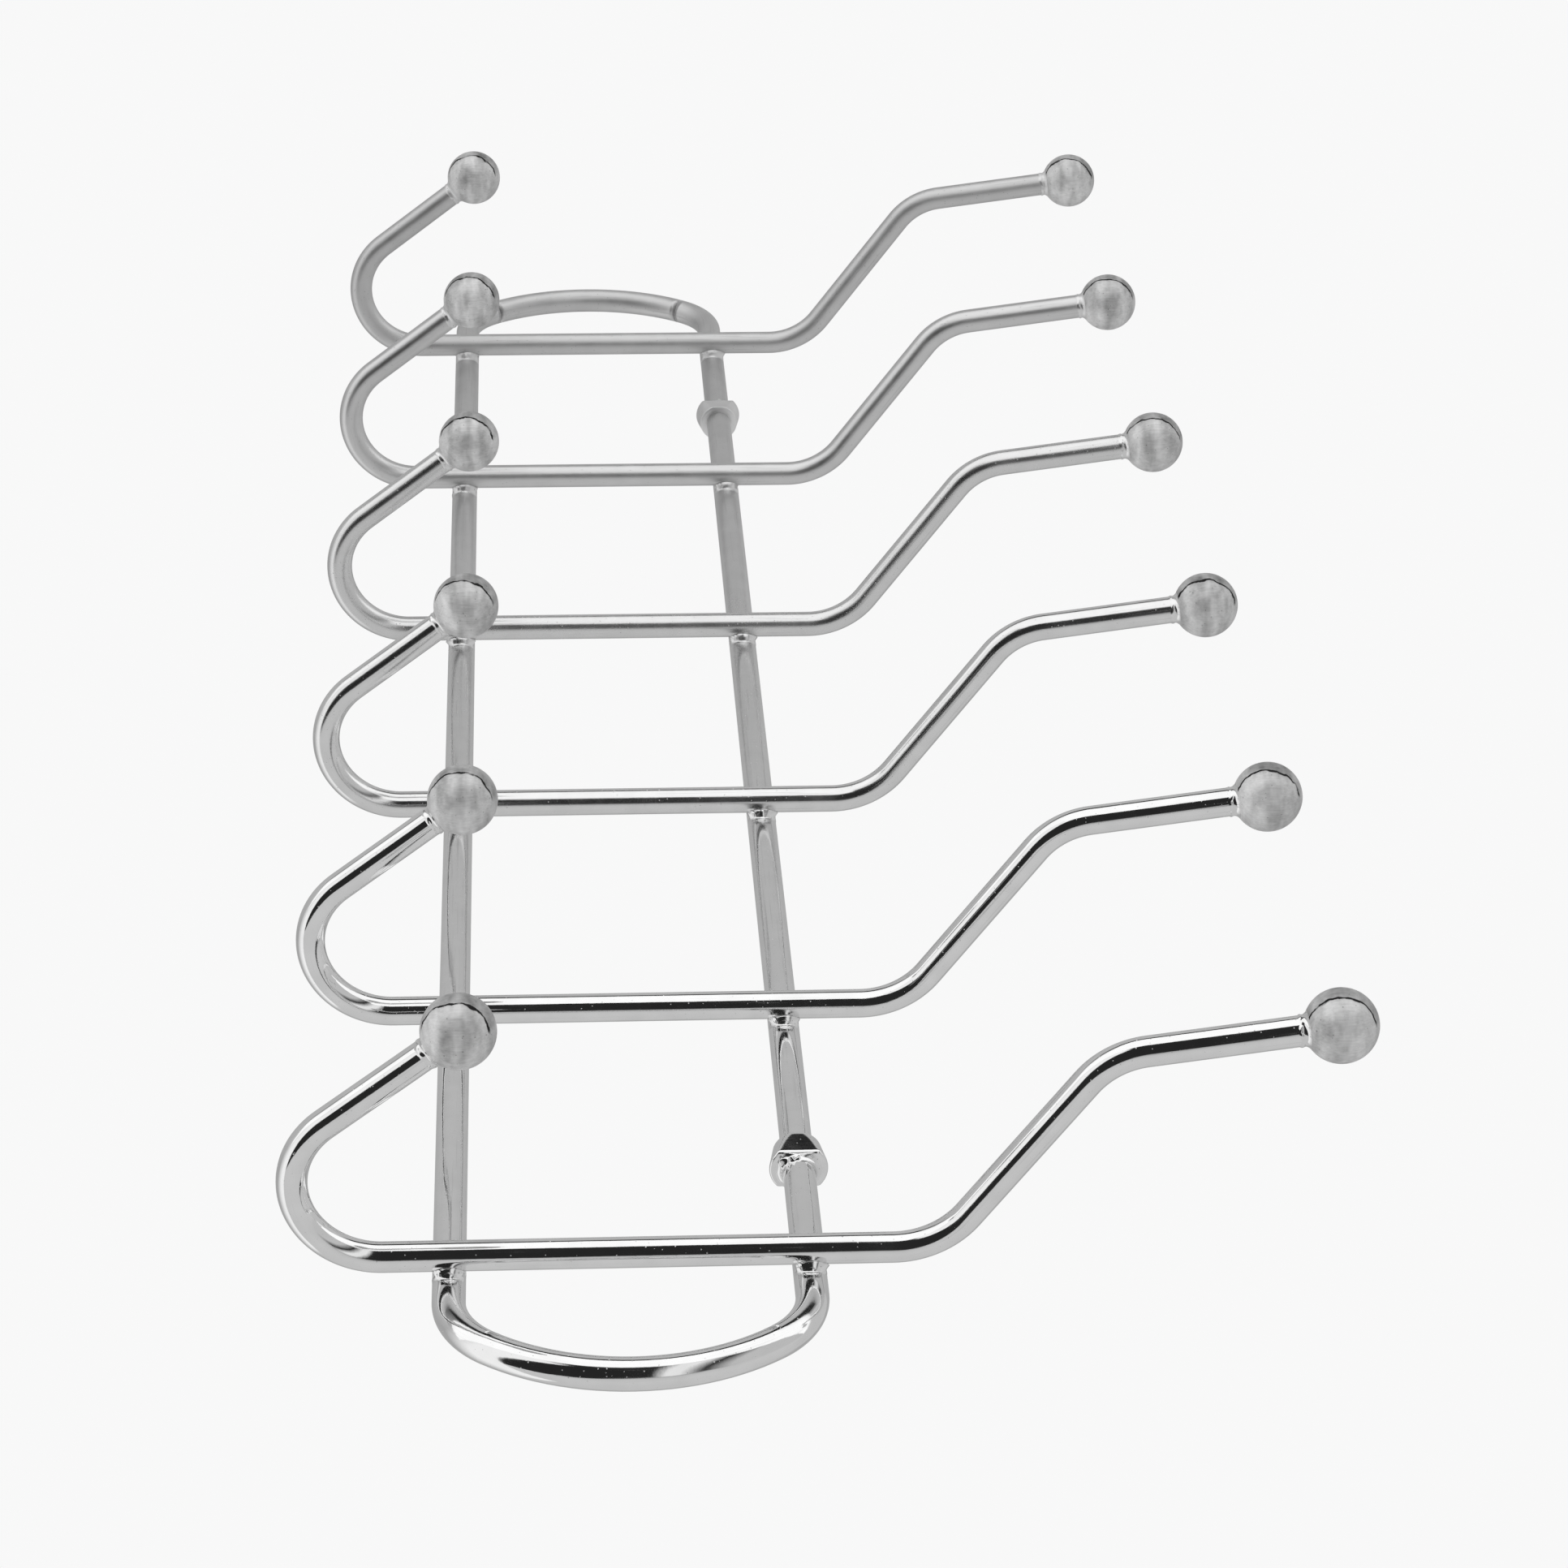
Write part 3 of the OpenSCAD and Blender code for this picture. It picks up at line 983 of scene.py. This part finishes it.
def drill(piece, mouth):
    """Cuts the blind wall socket into a lug."""
    cutter_mesh = bpy.data.meshes.new("drill")
    bm = bmesh.new()
    bmesh.ops.create_cone(
        bm,
        cap_ends=True,
        segments=SOCKET_SIDES,
        radius1=SOCKET_R,
        radius2=SOCKET_R,
        depth=2 * SOCKET_DEPTH,
        matrix=Matrix.Rotation(math.pi / 2, 4, "X"),
    )
    bm.to_mesh(cutter_mesh)
    bm.free()
    cutter = bpy.data.objects.new("drill", cutter_mesh)
    cutter.location = mouth
    bpy.context.scene.collection.objects.link(cutter)
    cut = piece.modifiers.new("socket", "BOOLEAN")
    cut.operation = "DIFFERENCE"
    cut.solver = "EXACT"
    cut.object = cutter
    bpy.context.view_layer.update()
    evaluated = piece.evaluated_get(bpy.context.evaluated_depsgraph_get())
    drilled = bpy.data.meshes.new_from_object(evaluated)
    piece.modifiers.clear()
    piece.data = drilled
    drilled.set_sharp_from_angle(angle=math.radians(SHARP_EDGE))
    bpy.data.objects.remove(cutter)


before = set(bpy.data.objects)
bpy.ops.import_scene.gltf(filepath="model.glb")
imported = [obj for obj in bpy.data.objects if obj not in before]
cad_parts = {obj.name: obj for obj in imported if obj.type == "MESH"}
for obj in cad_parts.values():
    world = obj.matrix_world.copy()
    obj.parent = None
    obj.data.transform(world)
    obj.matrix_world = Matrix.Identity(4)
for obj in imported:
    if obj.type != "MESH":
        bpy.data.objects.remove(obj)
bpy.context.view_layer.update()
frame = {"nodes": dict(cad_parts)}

span_low, span_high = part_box("top_rail_span")
UPPER_RAIL_Z = (span_low.z + span_high.z) / 2
WIRE_R = (span_high.z - span_low.z) / 2
RAIL_Y = span_high.y - WIRE_R
LOWER_RAIL_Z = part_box("frame_loop")[0].z + WIRE_R

bpy.context.scene.view_settings.view_transform = "Standard"
aim_camera()
light_world()
hang_light_box()
lay_floor()

wire_chrome = wire_material()
for number in HOOK_NUMBERS:
    build_hook_wire(number, wire_chrome)
build_frame(wire_chrome)
coat(frame["nodes"], BALL_NODES, ball_material())
weld_chrome = weld_material()
for number in HOOK_NUMBERS:
    build_rail_weld(number, "upper", UPPER_RAIL_Z, weld_chrome)
    build_rail_weld(number, "lower", LOWER_RAIL_Z, weld_chrome)
    build_ball_weld(number, "upper", UPPER_LEAN, weld_chrome)
    build_ball_weld(number, "lower", LOWER_LEAN, weld_chrome)
lug_chrome = lug_material()
for side_name, side_sign in (("left", -1), ("right", 1)):
    build_lug(side_name, side_sign, lug_chrome)
    build_lug_weld(side_name, side_sign, weld_chrome)
